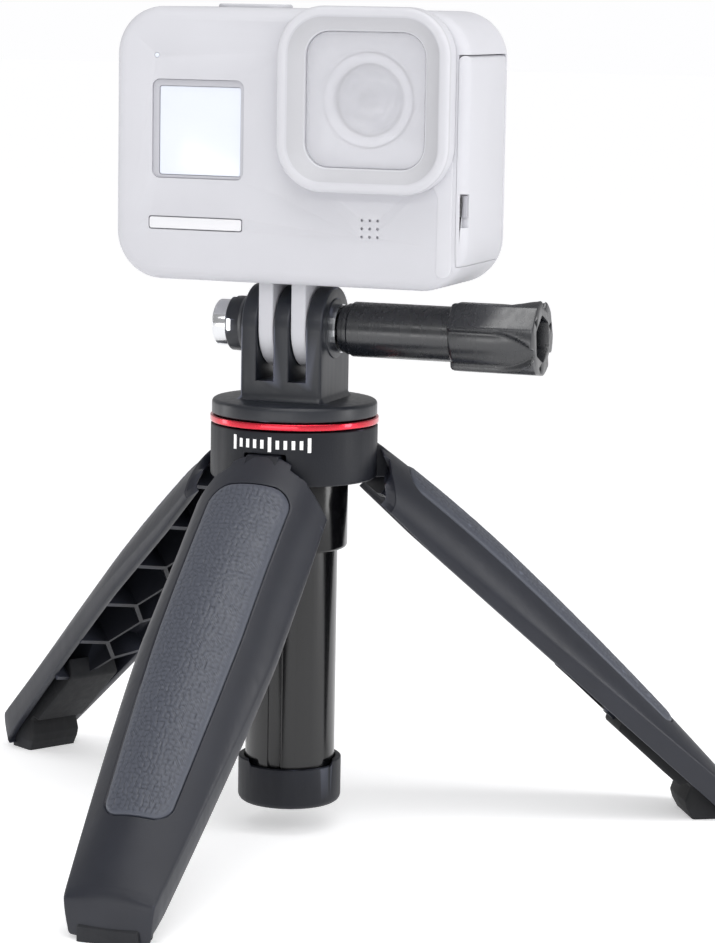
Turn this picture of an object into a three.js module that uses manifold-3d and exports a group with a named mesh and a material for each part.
// An action camera clamped on a folding mini tripod that doubles as a telescopic hand grip.
// Millimetres, +Z up, the lens looks along -Y. The tripod stands on its three rubber feet at z = 0.
import * as THREE from "three";
import { mergeVertices } from "three/addons/utils/BufferGeometryUtils.js";
import Module from "manifold-3d";

const wasm = await Module();
wasm.setup();

// ---------- driving dimensions ----------
const GAP = 0.3; // clearance between pieces that touch on the real object
const ROUND = 32; // segments of a full circle on the large turned pieces

const TILT_AXIS_Z = 92.6; // height of the thumbscrew axis
const PRONG = { thick: 3.0, pitch: 6.2, radius: 7.5, slotFloorZ: 83.2 };
const FINGER = { thick: 2.8, radius: 7.2, rootZ: 103.6, pinZ: 102.3 };

const HEAD = { radius: 15.0, z0: 76.8, z1: 79.8 };
const RING = { radius: 15.3, inner: 10.4, z0: 75.4, z1: 76.6 };
const HUB = { radius: 15.15, bore: 9.5, z0: 65.3, z1: 75.1 };
const SLEEVE = { radius: 9.2, collar: 9.95, bore: 8.5, z0: 52.4, collarZ: 65.0 };
const OUTER_TUBE = { radius: 8.2, inner: 7.25, z0: 6.8, z1: 75.1 };
const MIDDLE_TUBE = { radius: 6.75, inner: 6.0, z0: 9.6, z1: 76.0 };
const INNER_TUBE = { radius: 5.55, inner: 4.6, z0: 10.6, z1: 81.2 };
const CAP = { radius: 9.45, z0: 5.0, z1: 13.4, floor: 1.4 };
const KEY_GROOVE = { width: 2.4, depth: 0.5 };

const LEG = {
  azimuths: { front: -90, right: 30, left: 150 }, // degrees about the pole
  open: 46.5, // degrees from folded to the stop that it stands on
  hingeR: 11.6,
  hingeZ: 68.4,
  top: 1.2, // distances along the leg, measured from its hinge
  end: 97.2,
  wall: 1.8,
};
const PAD = { start: 8, end: 78, share: 0.63, proud: 0.35, sunk: 0.6 };
const PIN_R = 1.0;

const BODY = {
  x0: -30.6,
  x1: 35.6,
  y0: -12.25,
  y1: 12.25,
  z0: 101.0,
  z1: 149.4,
  corner: 8.5,
  edge: 2.4,
  wall: 1.8,
};
const SEAM_Y = 10.4; // where the rear cover meets the front housing
const LENS = { x: 17.5, z: 133.9, width: 31.7, height: 32.2, corner: 8.5, front: -16.15 };
const DOOR = { x: 33.8, y1: 9.2, z0: 105.6, hingeZ: 141.0, knuckle: 0.9 };

// ---------- materials ----------
const plastic = (color, roughness) => new THREE.MeshStandardMaterial({ color, roughness, metalness: 0 });
const metal = (color, roughness) => new THREE.MeshStandardMaterial({ color, roughness, metalness: 1 });
const blackPlastic = plastic(0x303238, 0.5);
const glossBlack = plastic(0x1d1e22, 0.3);
const gripLeather = plastic(0x34363d, 0.75);
const footRubber = plastic(0x26272b, 0.85);
const redAnodised = metal(0xc8202f, 0.3);
const steel = metal(0xc9cbcf, 0.25);
const paleShell = plastic(0xdcdce0, 0.55);
const paleTrim = plastic(0xe2e2e6, 0.45);
const paleRubber = plastic(0xcfcfd3, 0.7);
const coverGlass = plastic(0xd4d4d9, 0.1);
const lensGlass = plastic(0xb9b9c0, 0.08);
const screenWhite = plastic(0xf4f7fb, 0.15);
const circuitGreen = plastic(0x2f6b46, 0.5);
const aluminium = metal(0xb4b6ba, 0.4);
const batteryWrap = plastic(0x3b4652, 0.5);

// ---------- solid helpers ----------
// Shapes are three.js geometries until they are joined or cut, and solids after that.
function signedVolume(position, index) {
  const [a, b, c] = [new THREE.Vector3(), new THREE.Vector3(), new THREE.Vector3()];
  let volume = 0;
  for (let i = 0; i < index.count; i += 3) {
    a.fromBufferAttribute(position, index.getX(i));
    b.fromBufferAttribute(position, index.getX(i + 1));
    c.fromBufferAttribute(position, index.getX(i + 2));
    volume += a.dot(b.cross(c)) / 6;
  }
  return volume;
}

function solid(shape) {
  if (!shape.isBufferGeometry) return shape;
  const bare = shape.index ? shape.toNonIndexed() : shape.clone();
  bare.deleteAttribute("normal");
  bare.deleteAttribute("uv");
  const merged = mergeVertices(bare, 1e-4);
  const triVerts = new Uint32Array(merged.index.array);
  if (signedVolume(merged.attributes.position, merged.index) < 0) triVerts.reverse();
  const vertProperties = merged.attributes.position.array;
  return new wasm.Manifold(new wasm.Mesh({ numProp: 3, vertProperties, triVerts }));
}

const join = (...shapes) => shapes.map(solid).reduce((whole, piece) => whole.add(piece));
const cut = (shape, ...tools) => tools.map(solid).reduce((whole, tool) => whole.subtract(tool), solid(shape));
const common = (...shapes) => shapes.map(solid).reduce((whole, piece) => whole.intersect(piece));

function add(parent, name, shape, material) {
  const { vertProperties, triVerts } = solid(shape).getMesh();
  const geometry = new THREE.BufferGeometry();
  geometry.setAttribute("position", new THREE.BufferAttribute(new Float32Array(vertProperties), 3));
  geometry.setIndex(new THREE.BufferAttribute(new Uint32Array(triVerts), 1));
  geometry.computeVertexNormals();
  const mesh = new THREE.Mesh(geometry, material);
  mesh.name = name;
  parent.add(mesh);
  return mesh;
}

function box([x0, x1], [y0, y1], [z0, z1]) {
  const geometry = new THREE.BoxGeometry(x1 - x0, y1 - y0, z1 - z0);
  return geometry.translate((x0 + x1) / 2, (y0 + y1) / 2, (z0 + z1) / 2);
}

// A closed profile of [radius, height] points turned about Z.
function turned(profile, segments = ROUND) {
  const points = [...profile, profile[0]].map(([r, h]) => new THREE.Vector2(r, h));
  return new THREE.LatheGeometry(points, segments).rotateX(Math.PI / 2);
}

const disc = (radius, z0, z1, segments) => turned([[0, z0], [radius, z0], [radius, z1], [0, z1]], segments);
const ring = (outer, inner, z0, z1, segments) =>
  turned([[inner, z0], [outer, z0], [outer, z1], [inner, z1]], segments);

// The same turned shapes with their axis along X or Y, through the given point.
const alongX = (shape, y, z) => shape.rotateY(Math.PI / 2).translate(0, y, z);
const alongY = (shape, x, z) => shape.rotateX(-Math.PI / 2).translate(x, 0, z);

// A flat outline in X and Z, pushed along Y from y0 to y1.
function pushedY(outline, y0, y1, bevel = 0) {
  const geometry = new THREE.ExtrudeGeometry(outline, {
    depth: y1 - y0 - 2 * bevel,
    curveSegments: 4,
    bevelEnabled: bevel > 0,
    bevelSize: bevel,
    bevelOffset: -bevel,
    bevelThickness: bevel,
    bevelSegments: 2,
  });
  return geometry.rotateX(Math.PI / 2).translate(0, y1 - bevel, 0);
}

// A flat outline in Y and Z, pushed along X to both sides.
function pushedX(outline, halfThick) {
  const geometry = new THREE.ExtrudeGeometry(outline, {
    depth: 2 * halfThick,
    bevelEnabled: false,
    curveSegments: 10,
  });
  return geometry.rotateX(Math.PI / 2).rotateZ(Math.PI / 2).translate(-halfThick, 0, 0);
}

function roundedRect(x0, x1, z0, z1, r) {
  const outline = new THREE.Shape();
  outline.moveTo(x0 + r, z0);
  outline.lineTo(x1 - r, z0);
  outline.absarc(x1 - r, z0 + r, r, -Math.PI / 2, 0);
  outline.lineTo(x1, z1 - r);
  outline.absarc(x1 - r, z1 - r, r, 0, Math.PI / 2);
  outline.lineTo(x0 + r, z1);
  outline.absarc(x0 + r, z1 - r, r, Math.PI / 2, Math.PI);
  outline.lineTo(x0, z0 + r);
  outline.absarc(x0 + r, z0 + r, r, Math.PI, 1.5 * Math.PI);
  return outline;
}

const centredRect = (x, z, width, height, r) =>
  roundedRect(x - width / 2, x + width / 2, z - height / 2, z + height / 2, r);

// ---------- tripod hub and its fixed pole ----------
const assembly = new THREE.Group();

const legFrames = Object.entries(LEG.azimuths);
const toAzimuth = (shape, azimuth) => shape.rotateZ(THREE.MathUtils.degToRad(azimuth));

// A cylinder across a leg, with its middle at x, z.
const pinShape = (radius, halfLength, x = 0, z = 0) =>
  disc(radius, -halfLength, halfLength, 16).rotateX(Math.PI / 2).translate(x, 0, z);

const WINDOW = { halfWidth: 4, height: 5.9, from: 9.0 }; // the hub's opening for a leg's tongue
const PIN_HALF = 6.6;
function hubBody() {
  const cuts = legFrames.flatMap(([, azimuth]) => [
    toAzimuth(
      box(
        [WINDOW.from, HUB.radius + 2],
        [-WINDOW.halfWidth, WINDOW.halfWidth],
        [HUB.z0 - 1, HUB.z0 + WINDOW.height],
      ),
      azimuth,
    ),
    toAzimuth(pinShape(PIN_R + GAP, PIN_HALF + GAP, LEG.hingeR, LEG.hingeZ), azimuth),
  ]);
  return cut(ring(HUB.radius, HUB.bore, HUB.z0, HUB.z1), ...cuts);
}

function guideSleeve() {
  return turned([
    [SLEEVE.bore, SLEEVE.z0],
    [SLEEVE.collar - 0.5, SLEEVE.z0],
    [SLEEVE.collar, SLEEVE.z0 + 0.5],
    [SLEEVE.collar, SLEEVE.collarZ],
    [SLEEVE.radius, SLEEVE.collarZ],
    [SLEEVE.radius, HUB.z1],
    [SLEEVE.bore, HUB.z1],
  ]);
}

function outerTube() {
  const floor = OUTER_TUBE.radius - KEY_GROOVE.depth;
  const half = KEY_GROOVE.width / 2;
  const grooves = legFrames.map(([, azimuth]) =>
    toAzimuth(box([floor, floor + 2], [-half, half], [CAP.z0, SLEEVE.z0 - 1]), azimuth),
  );
  return cut(ring(OUTER_TUBE.radius, OUTER_TUBE.inner, OUTER_TUBE.z0, OUTER_TUBE.z1), ...grooves);
}

function endCap() {
  const chamfer = 0.9;
  return turned([
    [0, CAP.z0],
    [CAP.radius - chamfer, CAP.z0],
    [CAP.radius, CAP.z0 + chamfer],
    [CAP.radius, CAP.z1],
    [OUTER_TUBE.radius + GAP, CAP.z1],
    [OUTER_TUBE.radius + GAP, CAP.z0 + CAP.floor],
    [0, CAP.z0 + CAP.floor],
  ]);
}

add(assembly, "hub_body", hubBody(), blackPlastic);
add(assembly, "guide_sleeve", guideSleeve(), glossBlack);
add(assembly, "trim_ring", ring(RING.radius, RING.inner, RING.z0, RING.z1), redAnodised);
add(assembly, "pole_outer_tube", outerTube(), glossBlack);
add(assembly, "pole_end_cap", endCap(), blackPlastic);

// ---------- legs ----------
// A leg is described folded, hanging from its hinge: u runs down along it, v points away from the pole
// and t across it. Its section is an arc that ends in two straight side walls.
const rise = (u, from, rate) => rate * Math.max(0, u - from);
const bow = (u) => 6.9 - (u < 38 ? 0.0016 : 0.0006) * (u - 38) ** 2;
const tipDrop = (u) => rise(u, 91, 0.12) + 0.125 * Math.max(0, u - 91) ** 2;
const halfWidth = (u) => 12.4 - (u < 40 ? 0 : 4.6 * ((u - 40) / 56) ** 1.25) - 0.1 * tipDrop(u);
const crown = (u) => bow(u) - tipDrop(u);
const edge = (u) => Math.min(-3.2 + rise(u, 20, 0.035), crown(u) - 1.2);
const shoulder = (u) => Math.min(edge(u) + 1.2 + rise(u, 8, 0.036), crown(u) - 0.8);

// The section at u as [v, t] points, offset outwards by grow, with its open side lowered by extra.
function legSection(u, grow, extra, segments = 6) {
  const w = halfWidth(u) + grow;
  const sag = crown(u) + grow - shoulder(u);
  const radius = (w * w + sag * sag) / (2 * sag);
  const half = sag > radius ? Math.PI - Math.asin(w / radius) : Math.asin(w / radius);
  const points = [[edge(u) - extra, -w]];
  for (let i = 0; i <= segments; i++) {
    const a = -half + (2 * half * i) / segments;
    points.push([crown(u) + grow - radius * (1 - Math.cos(a)), radius * Math.sin(a)]);
  }
  points.push([edge(u) - extra, w]);
  return points;
}

function legLoft(u0, u1, grow, extra, steps = 12) {
  const stations = [];
  for (let i = 0; i <= steps; i++) {
    const u = u0 + ((u1 - u0) * i) / steps;
    stations.push(legSection(u, grow, extra).map(([v, t]) => [v, t, -u]));
  }
  const count = stations[0].length;
  const position = [];
  const quad = (a, b, c, d) => position.push(...a, ...b, ...c, ...a, ...c, ...d);
  for (let i = 0; i < steps; i++)
    for (let j = 0; j < count; j++) {
      const k = (j + 1) % count;
      quad(stations[i][j], stations[i][k], stations[i + 1][k], stations[i + 1][j]);
    }
  for (const [end, flip] of [[stations[0], true], [stations[steps], false]])
    for (let j = 1; j < count - 1; j++)
      position.push(...end[0], ...(flip ? end[j + 1] : end[j]), ...(flip ? end[j] : end[j + 1]));
  const geometry = new THREE.BufferGeometry();
  geometry.setAttribute("position", new THREE.Float32BufferAttribute(position, 3));
  return geometry;
}

// A prism through the leg whose outline is given in u and t.
function throughLeg(outline, v0, v1) {
  const shape = new THREE.Shape(outline.map(([u, t]) => new THREE.Vector2(u, t)));
  const geometry = new THREE.ExtrudeGeometry(shape, { depth: v1 - v0, bevelEnabled: false });
  // Shape x, y and depth become -Z, Y and X.
  const turn = new THREE.Matrix4().makeBasis(
    new THREE.Vector3(0, 0, -1),
    new THREE.Vector3(0, 1, 0),
    new THREE.Vector3(1, 0, 0),
  );
  return geometry.applyMatrix4(turn).translate(v0, 0, 0);
}

// A prism across the leg whose outline is given in u and v.
function acrossLeg(outline, halfThick) {
  const shape = new THREE.Shape(outline.map(([u, v]) => new THREE.Vector2(v, -u)));
  const geometry = new THREE.ExtrudeGeometry(shape, { depth: 2 * halfThick, bevelEnabled: false });
  return geometry.rotateX(Math.PI / 2).translate(0, halfThick, 0);
}

function padOutline(grow) {
  const mid = (PAD.start + PAD.end) / 2;
  const points = [];
  const halfAt = (u) => halfWidth(u) * PAD.share + grow;
  const half = (PAD.end - PAD.start) / 2 + grow;
  const steps = 14;
  for (let i = 0; i < steps; i++) {
    const a = (2 * Math.PI * (i + 0.5)) / steps;
    const reach = (c) => Math.sign(c) * Math.abs(c) ** 0.22; // a squarish oval
    const u = mid + half * reach(Math.cos(a));
    points.push([u, halfAt(u) * reach(Math.sin(a))]);
  }
  return points;
}

// The floor as the open leg sees it: everything below height z.
function belowFloor(z) {
  return box([-200, 200], [-40, 40], [-200, z - LEG.hingeZ]).rotateY(THREE.MathUtils.degToRad(LEG.open));
}

// Ribs inside a leg: a zigzag spine along it, and an arm from each corner of the spine to a side wall.
const RIB = { first: 10, step: 8, count: 8, thick: 1.1, zigzag: 2.2, armDrop: 2.4, floor: -1.2 };
function ribs() {
  const bar = (u0, t0, u1, t1) => {
    const half = RIB.thick / 2 / Math.hypot(u1 - u0, t1 - t0);
    const [nu, nt] = [(t0 - t1) * half, (u1 - u0) * half];
    const corners = [
      [u0 - nu, t0 - nt],
      [u1 - nu, t1 - nt],
      [u1 + nu, t1 + nt],
      [u0 + nu, t0 + nt],
    ];
    return throughLeg(corners, RIB.floor, 9);
  };
  const side = (k) => (k % 2 ? -1 : 1);
  const bars = [];
  for (let k = 0; k < RIB.count; k++) {
    const u = RIB.first + RIB.step * k;
    const t = RIB.zigzag * side(k);
    if (k < RIB.count - 1) bars.push(bar(u, t, u + RIB.step, -t));
    bars.push(bar(u, t, u - RIB.armDrop, 13 * side(k)));
  }
  return common(join(...bars), legLoft(5, 88, -LEG.wall + GAP, 0, 5));
}

// The tongue that turns on the hinge pin, in the hub's window.
const TONGUE_HALF = 3.1;
function hingeTongue() {
  const web = [
    [-1.6, 0.8],
    [-0.4, 2.3],
    [1.4, 4.3],
    [6, 4.3],
    [8, 3.6],
    [3.0, -1.6],
    [1.5, -2.0],
    [-1.2, -1.7],
  ];
  return acrossLeg(web, TONGUE_HALF);
}

const FOOT_HALF = 5.5;
const footOutline = (grow) => [
  [69.8 - grow, 0.8 + grow],
  [70.9 - grow, -2.9 - grow],
  [87.2 + grow, -2.5 - grow],
  [88.1 + grow, -1.0 - grow],
  [89.0 - grow, -1.2 - grow],
  [90.2 - grow, -3.9 - grow],
  [91.6 - grow, -4.7 - grow],
  [94.6, -5.6 - grow],
  [98.8 + grow, -1.6],
  [96.6 + grow, 0.8 + grow],
];

// What the leg's top leaves free for the hub's wall and lower rim, from open to folded, in u and v.
function hubClearance() {
  const rim = Array.from({ length: 7 }, (_, i) => {
    const a = THREE.MathUtils.degToRad(48 - 18 * i);
    return [5.05 * Math.cos(a), 5.05 * Math.sin(a)];
  });
  return acrossLeg([[-4, 8], [0.9, 8], [1.25, 4.45], [1.75, 3.85], ...rim, [-4, -4.4]], 20);
}

function legShell() {
  const outer = legLoft(LEG.top, LEG.end, 0, 0, 11);
  const hollow = legLoft(LEG.top - 2, 89.5, -LEG.wall, 4, 8);
  const padSeat = cut(throughLeg(padOutline(0.1), -1, 12), legLoft(2, 92, -PAD.sunk - 0.15, 9, 8));
  const shoulders = [-1, 1].map((s) => {
    const outline = [
      [-1, 3.6 * s],
      [1.4, 3.6 * s],
      [2.6, 6.8 * s],
      [8.6, 12.5 * s],
      [8.6, 14 * s],
      [-1, 14 * s],
    ];
    return throughLeg(outline, -9, 9);
  });
  const skin = cut(join(cut(outer, hollow), ribs()), padSeat, hubClearance(), ...shoulders);
  return cut(
    join(skin, hingeTongue()),
    pinShape(PIN_R + GAP, 5),
    acrossLeg(footOutline(GAP), FOOT_HALF + GAP),
    belowFloor(0.8),
  );
}

function gripPad() {
  const blank = common(legLoft(5, 90, PAD.proud, 0, 8), throughLeg(padOutline(-0.2), -1, 12));
  return cut(blank, legLoft(2, 92, -PAD.sunk + 0.15, 9, 8));
}

const footPad = () => cut(acrossLeg(footOutline(0), FOOT_HALF), belowFloor(0));

const shellShape = legShell();
const padShape = gripPad();
const footShape = footPad();
for (const [name, azimuth] of legFrames) {
  const station = new THREE.Group();
  station.rotation.z = THREE.MathUtils.degToRad(azimuth);
  assembly.add(station);
  const hinge = new THREE.Group();
  hinge.position.set(LEG.hingeR, 0, LEG.hingeZ);
  hinge.rotation.y = THREE.MathUtils.degToRad(-LEG.open);
  station.add(hinge);
  add(hinge, `leg_shell_${name}`, shellShape, blackPlastic);
  add(hinge, `grip_pad_${name}`, padShape, gripLeather);
  add(hinge, `foot_pad_${name}`, footShape, footRubber);
  add(station, `hinge_pin_${name}`, pinShape(PIN_R, PIN_HALF, LEG.hingeR, LEG.hingeZ), steel);
}

// ---------- telescopic pole, clevis head and thumbscrew ----------
const slidingTube = (tube) => ring(tube.radius, tube.inner, tube.z0, tube.z1, 28);
add(assembly, "pole_middle_tube", slidingTube(MIDDLE_TUBE), glossBlack);
add(assembly, "pole_inner_tube", slidingTube(INNER_TUBE), glossBlack);
add(assembly, "middle_tube_bush", ring(7.1, 6.2, 8.0, MIDDLE_TUBE.z0 - 0.1, 24), footRubber);
add(assembly, "inner_tube_bush", ring(5.85, 3.6, 8.6, INNER_TUBE.z0 - 0.1, 24), footRubber);

const BOSS = { radius: 5.0, x0: -12.0 };
const NUT = { radius: 4.1, x0: -14.8, x1: -9.6 };
const BOLT_R = 2.4;

function clevisHead() {
  const lip = 0.9;
  const base = turned([
    [0, HEAD.z0],
    [HEAD.radius, HEAD.z0],
    [HEAD.radius, HEAD.z1 - lip],
    [HEAD.radius - lip, HEAD.z1],
    [0, HEAD.z1],
  ]);
  const side = new THREE.Shape();
  side.moveTo(-PRONG.radius, HEAD.z1 - 0.5);
  side.lineTo(PRONG.radius, HEAD.z1 - 0.5);
  side.lineTo(PRONG.radius, TILT_AXIS_Z);
  side.absarc(0, TILT_AXIS_Z, PRONG.radius, 0, Math.PI);
  const halfSpan = PRONG.pitch + PRONG.thick / 2;
  const boss = alongX(disc(BOSS.radius, BOSS.x0, -halfSpan + 0.5, 24), 0, TILT_AXIS_Z);
  const nutPocket = alongX(disc(NUT.radius + GAP, BOSS.x0 - 1, NUT.x1 + GAP, 6), 0, TILT_AXIS_Z);
  const boltHole = alongX(disc(BOLT_R + GAP, -20, 20, 20), 0, TILT_AXIS_Z);
  const tubeSeat = disc(INNER_TUBE.radius + GAP, HEAD.z0 - 1, INNER_TUBE.z1 + GAP, 28);
  const slotHalf = (PRONG.pitch - PRONG.thick) / 2;
  const slots = [-1, 1].map((s) => {
    const x = (s * PRONG.pitch) / 2;
    return box([x - slotHalf, x + slotHalf], [-20, 20], [PRONG.slotFloorZ, 120]);
  });
  return cut(join(base, pushedX(side, halfSpan), boss), nutPocket, boltHole, tubeSeat, ...slots);
}

function insertNut() {
  const bore = disc(BOLT_R + GAP, NUT.x0 - 1, NUT.x1 + 1, 16);
  return cut(disc(NUT.radius, NUT.x0, NUT.x1, 6), bore);
}

const KNOB = { x0: 30.4, x1: 46.4, radius: 6.35, lobe: 0.55, socket: 4.2, socketDepth: 11 };
function thumbscrewGrip() {
  const stem = turned([
    [BOLT_R + GAP, 9.3],
    [4.3, 9.3],
    [4.3, 10.1],
    [4.95, 10.6],
    [4.95, KNOB.x0],
    [6.0, KNOB.x0 + 1.3],
    [6.0, KNOB.x0 + 3],
    [0, KNOB.x0 + 3],
    [0, 20.0],
    [BOLT_R + GAP, 20.0],
  ], 28);
  const rim = Array.from({ length: 36 }, (_, i) => {
    const a = (Math.PI * i) / 18;
    const r = KNOB.radius + KNOB.lobe * Math.cos(3 * a);
    return new THREE.Vector2(r * Math.cos(a), r * Math.sin(a));
  });
  const depth = KNOB.x1 - KNOB.x0 - 1.3;
  const barrel = new THREE.ExtrudeGeometry(new THREE.Shape(rim), { depth, bevelEnabled: false });
  barrel.translate(0, 0, KNOB.x0 + 1.3);
  const socket = disc(KNOB.socket, KNOB.x1 - KNOB.socketDepth, KNOB.x1 + 1, 6);
  const pocket = (azimuth) =>
    toAzimuth(disc(0.95, KNOB.x1 - 5, KNOB.x1 + 1, 3).translate(5.35, 0, 0), azimuth);
  return cut(join(stem, barrel), socket, ...[0, 120, 240].map(pocket));
}

// These three are made about Z and laid along the tilt axis.
const tiltAxis = new THREE.Group();
tiltAxis.position.z = TILT_AXIS_Z;
tiltAxis.rotation.y = Math.PI / 2;
assembly.add(tiltAxis);
add(assembly, "clevis_head", clevisHead(), blackPlastic);
add(tiltAxis, "insert_nut", insertNut(), steel);
add(tiltAxis, "clamp_bolt", disc(BOLT_R, -13.6, 19.5, 20), steel);
add(tiltAxis, "clamp_washer", ring(4.4, BOLT_R + GAP, 8.0, 9.0, 24), steel);
add(tiltAxis, "thumbscrew_grip", thumbscrewGrip(), blackPlastic);

// ---------- action camera ----------
const camera = new THREE.Group();
assembly.add(camera);
const midX = (BODY.x0 + BODY.x1) / 2;
const bodyOutline = (inset) =>
  roundedRect(BODY.x0 + inset, BODY.x1 - inset, BODY.z0 + inset, BODY.z1 - inset, BODY.corner - inset);
const bodySolid = solid(pushedY(bodyOutline(0), BODY.y0, BODY.y1, BODY.edge));

const DISPLAY = { x: -14.5, z: 127.9, size: 16.9 };
const BADGE = { x0: -23.6, x1: -6.0, z0: 110.2, z1: 112.2 };
const SHUTTER = { x: -8.5, length: 13, width: 8, z1: 150.0 };
const MODE = { z: 128, length: 12, width: 5, x0: -31.1 };
const SPEAKER = { x: 18.1, z: 111.6, radius: 4 };
const LIGHT = { x: -22.4, z: 140.8, radius: 0.7 };
const LENS_RING_R = 8.1;
const FINGER_PIN_R = 0.75;

// A button's outline stands through the shell with its own clearance.
const shutterStem = (grow) =>
  box(
    [SHUTTER.x - SHUTTER.length / 2 - grow, SHUTTER.x + SHUTTER.length / 2 + grow],
    [-SHUTTER.width / 2 - grow, SHUTTER.width / 2 + grow],
    [BODY.z1 - 2.6 - 5 * grow, SHUTTER.z1 + 5 * grow],
  );
const modeStem = (grow) =>
  box(
    [MODE.x0 - 5 * grow, BODY.x0 + 2.6 + 5 * grow],
    [-MODE.width / 2 - grow, MODE.width / 2 + grow],
    [MODE.z - MODE.length / 2 - grow, MODE.z + MODE.length / 2 + grow],
  );

const POCKET_HALF = PRONG.pitch / 2 + FINGER.thick / 2 + GAP;
const pinBore = (side) =>
  alongY(disc(FINGER_PIN_R + GAP, -9.2, 9.2, 16), (side * PRONG.pitch) / 2, FINGER.pinZ);

function frontHousing() {
  const cavity = pushedY(bodyOutline(BODY.wall), BODY.y0 + 2, BODY.y1 + 1);
  const blockHalf = POCKET_HALF + 1.6;
  const fingerBlock = box([-blockHalf, blockHalf], [-9.8, 9.8], [BODY.z0 + 0.2, FINGER.rootZ + 1.6]);
  const fingerPocket = box([-POCKET_HALF, POCKET_HALF], [-8.2, 8.2], [BODY.z0 - 1, FINGER.rootZ + GAP]);
  const behindSeam = box([-60, 60], [SEAM_Y, 40], [80, 170]);
  const doorTop = DOOR.hingeZ + DOOR.knuckle + GAP;
  const doorway = box([DOOR.x - GAP, 40], [-20, DOOR.y1 + GAP], [DOOR.z0 - GAP, doorTop]);
  const displaySeat = DISPLAY.size + 2 * GAP;
  return cut(
    join(cut(bodySolid, cavity), fingerBlock),
    fingerPocket,
    pinBore(-1),
    pinBore(1),
    behindSeam,
    doorway,
    pushedY(centredRect(DISPLAY.x, DISPLAY.z, displaySeat, displaySeat, 1.4), -13, -10),
    box([BADGE.x0 - 0.2, BADGE.x1 + 0.2], [-13, BODY.y0 + 0.7], [BADGE.z0 - 0.2, BADGE.z1 + 0.2]),
    alongY(disc(LENS_RING_R + GAP, -14, -8, 28), LENS.x, LENS.z),
    alongY(disc(LIGHT.radius + 0.2, -14, -8, 12), LIGHT.x, LIGHT.z),
    shutterStem(0.25),
    modeStem(0.25),
  );
}

const SCREEN = { x: midX + 1.5, z: 125.6, width: 52, height: 31 };
function rearCover() {
  const aheadOfSeam = box([-60, 60], [-40, SEAM_Y + 0.1], [80, 170]);
  const [width, height] = [SCREEN.width + 2 * GAP, SCREEN.height + 2 * GAP];
  const window = pushedY(centredRect(SCREEN.x, SCREEN.z, width, height, 2), 9, 14);
  return cut(bodySolid, aheadOfSeam, window);
}

function lensSurround() {
  const outline = centredRect(LENS.x, LENS.z, LENS.width, LENS.height, LENS.corner);
  const outer = pushedY(outline, LENS.front, BODY.y0 + 1.2, 1.0);
  const aheadOfBody = box([-60, 60], [BODY.y0 - 0.1, 0], [80, 170]);
  const mouth = pushedY(centredRect(LENS.x, LENS.z, 27, 28.2, 6.2), -17, -15.3);
  const throat = pushedY(centredRect(LENS.x, LENS.z, 23.4, 24.4, 5), -17, -14.2);
  const seat = pushedY(centredRect(LENS.x, LENS.z, 25, 26, 5), -14.3, -12);
  return cut(outer, aheadOfBody, mouth, throat, seat);
}

function sideDoor() {
  const reach = box([DOOR.x, 40], [-20, DOOR.y1], [DOOR.z0, DOOR.hingeZ]);
  const knuckle = alongY(disc(DOOR.knuckle, -9.4, DOOR.y1, 16), BODY.x1 - DOOR.knuckle, DOOR.hingeZ);
  const latchPocket = box([34.0, 37], [-13, -9.9], [112.4, 118.2]);
  return cut(join(common(bodySolid, reach), knuckle), latchPocket);
}

// A folding mount finger: a round eye on the tilt axis, with its root in the pocket under the camera.
function mountFinger() {
  const outline = new THREE.Shape();
  outline.absarc(0, TILT_AXIS_Z, FINGER.radius, Math.PI, 2 * Math.PI);
  outline.lineTo(FINGER.radius, FINGER.rootZ);
  outline.lineTo(-FINGER.radius, FINGER.rootZ);
  const eye = alongX(disc(BOLT_R + GAP, -5, 5, 20), 0, TILT_AXIS_Z);
  const pinHole = alongY(disc(FINGER_PIN_R + GAP, -9, 9, 16), 0, FINGER.pinZ);
  return cut(pushedX(outline, FINGER.thick / 2), eye, pinHole);
}

const plate = (x, z, width, height, r, y0, y1) => pushedY(centredRect(x, z, width, height, r), y0, y1);

add(camera, "front_housing", frontHousing(), paleShell);
add(camera, "rear_cover", rearCover(), paleShell);
add(camera, "lens_surround", lensSurround(), paleTrim);
add(camera, "lens_cover_glass", plate(LENS.x, LENS.z, 24.4, 25.4, 4.6, -13.9, -13.0), coverGlass);
add(camera, "lens_ring", alongY(ring(LENS_RING_R, 6.4, -12.8, -10.6, 28), LENS.x, LENS.z), paleRubber);
const dome = turned([
  [0, -12.6],
  [2.4, -12.4],
  [4.3, -11.9],
  [5.6, -11.2],
  [6.1, -10.7],
  [6.1, -10.3],
  [0, -10.3],
], 28);
const displayPlate = plate(DISPLAY.x, DISPLAY.z, DISPLAY.size, DISPLAY.size, 1.2, -12.0, -11.0);
const touchPlate = plate(SCREEN.x, SCREEN.z, SCREEN.width, SCREEN.height, 1.8, 10.9, 12.1);
add(camera, "front_element", alongY(dome, LENS.x, LENS.z), lensGlass);
add(camera, "lens_barrel", alongY(disc(7.4, -10.2, -1.0, 28), LENS.x, LENS.z), glossBlack);
add(camera, "front_display_window", displayPlate, screenWhite);
const lightPipe = disc(LIGHT.radius, BODY.y0 - 0.1, -9.8, 12);
add(camera, "status_light", alongY(lightPipe, LIGHT.x, LIGHT.z), screenWhite);
add(camera, "speaker", alongY(disc(SPEAKER.radius, -10.0, -7.4, 20), SPEAKER.x, SPEAKER.z), glossBlack);
add(camera, "rear_touchscreen", touchPlate, coverGlass);

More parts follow.
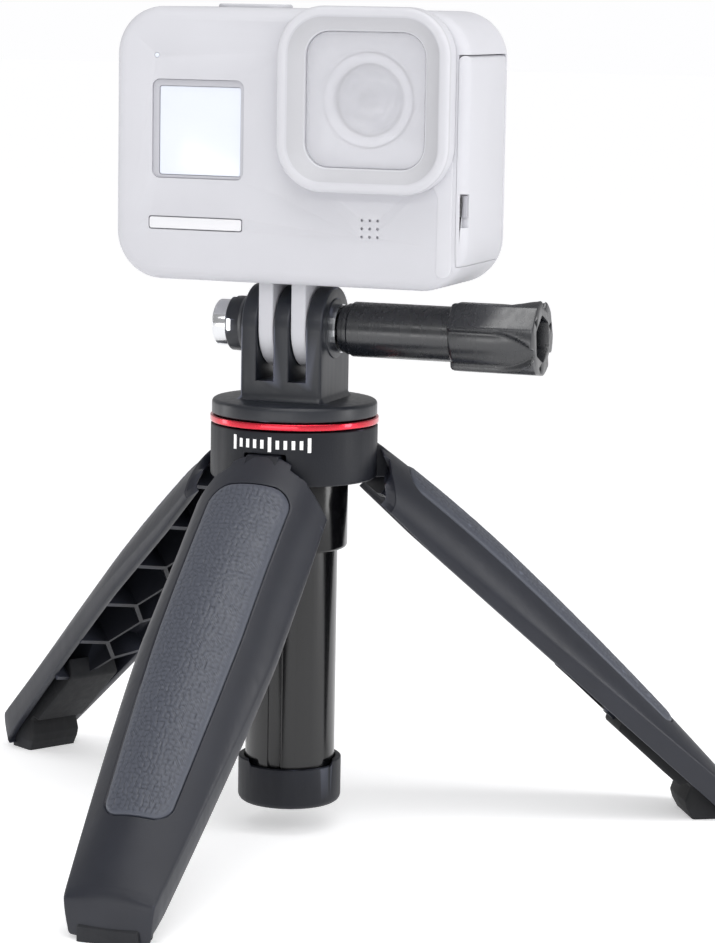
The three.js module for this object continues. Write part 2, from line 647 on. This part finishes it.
// Straight-sided pieces, each as its x, y and z spans.
const blocks = {
  front_badge: [[BADGE.x0, BADGE.x1], [BODY.y0 - 0.1, BODY.y0 + 0.5], [BADGE.z0, BADGE.z1], paleTrim],
  image_sensor_board: [[8.5, 26.5], [-0.8, 0.4], [125, 143], circuitGreen],
  front_display_panel: [[-22, -7], [-10.1, -8.8], [120.4, 135.4], glossBlack],
  rear_display_panel: [[SCREEN.x - 24, SCREEN.x + 24], [9.4, 10.6], [111.5, 139.5], glossBlack],
  main_board: [[-27.0, -9.6], [1.6, 2.8], [106.5, 142.6], circuitGreen],
  heat_sink: [[-26.6, -10.2], [3.2, 5.0], [108, 141.6], aluminium],
  battery: [[-8.4, 32.0], [1.2, 8.8], [107, 140], batteryWrap],
  usb_port: [[25.0, 32.6], [-7.2, -4.0], [108, 117], steel],
  memory_card: [[17.4, 32.4], [-2.4, -1.6], [108, 119], glossBlack],
  shutter_switch: [[-10.5, -6.5], [-2, 1.2], [144.2, 145.6], steel],
  mode_switch: [[-27.0, -25.6], [-2, 1.2], [126, 130], steel],
  door_latch: [[34.3, 35.7], [-11.3, -10.2], [114.2, 117.9], paleRubber],
};
for (const [name, [x, y, z, material]] of Object.entries(blocks)) add(camera, name, box(x, y, z), material);

const fingerShape = mountFinger();
for (const [name, side] of [["left", -1], ["right", 1]]) {
  const station = new THREE.Group();
  station.position.x = (side * PRONG.pitch) / 2;
  camera.add(station);
  add(station, `mount_finger_${name}`, fingerShape, paleShell);
  add(station, `finger_pin_${name}`, alongY(disc(FINGER_PIN_R, -9.0, 9.0, 16), 0, FINGER.pinZ), steel);
}
add(camera, "shutter_button", shutterStem(0), paleRubber);
add(camera, "mode_button", modeStem(0), paleRubber);
add(camera, "side_door", sideDoor(), paleShell);
const sealOpening = box([30, 36], [-7.8, 7.8], [109.2, 138.4]);
const seal = cut(box([33.1, 33.7], [-9.0, 9.0], [108.0, 139.6]), sealOpening);
add(camera, "door_gasket", seal, paleRubber);

// The frame's origin is the middle of the footprint of the bounding box, on the floor.
const extent = new THREE.Box3().setFromObject(assembly, true);
const centre = extent.getCenter(new THREE.Vector3());
assembly.position.set(-centre.x, -centre.y, 0);
const model = new THREE.Group();
model.add(assembly);

export default model;
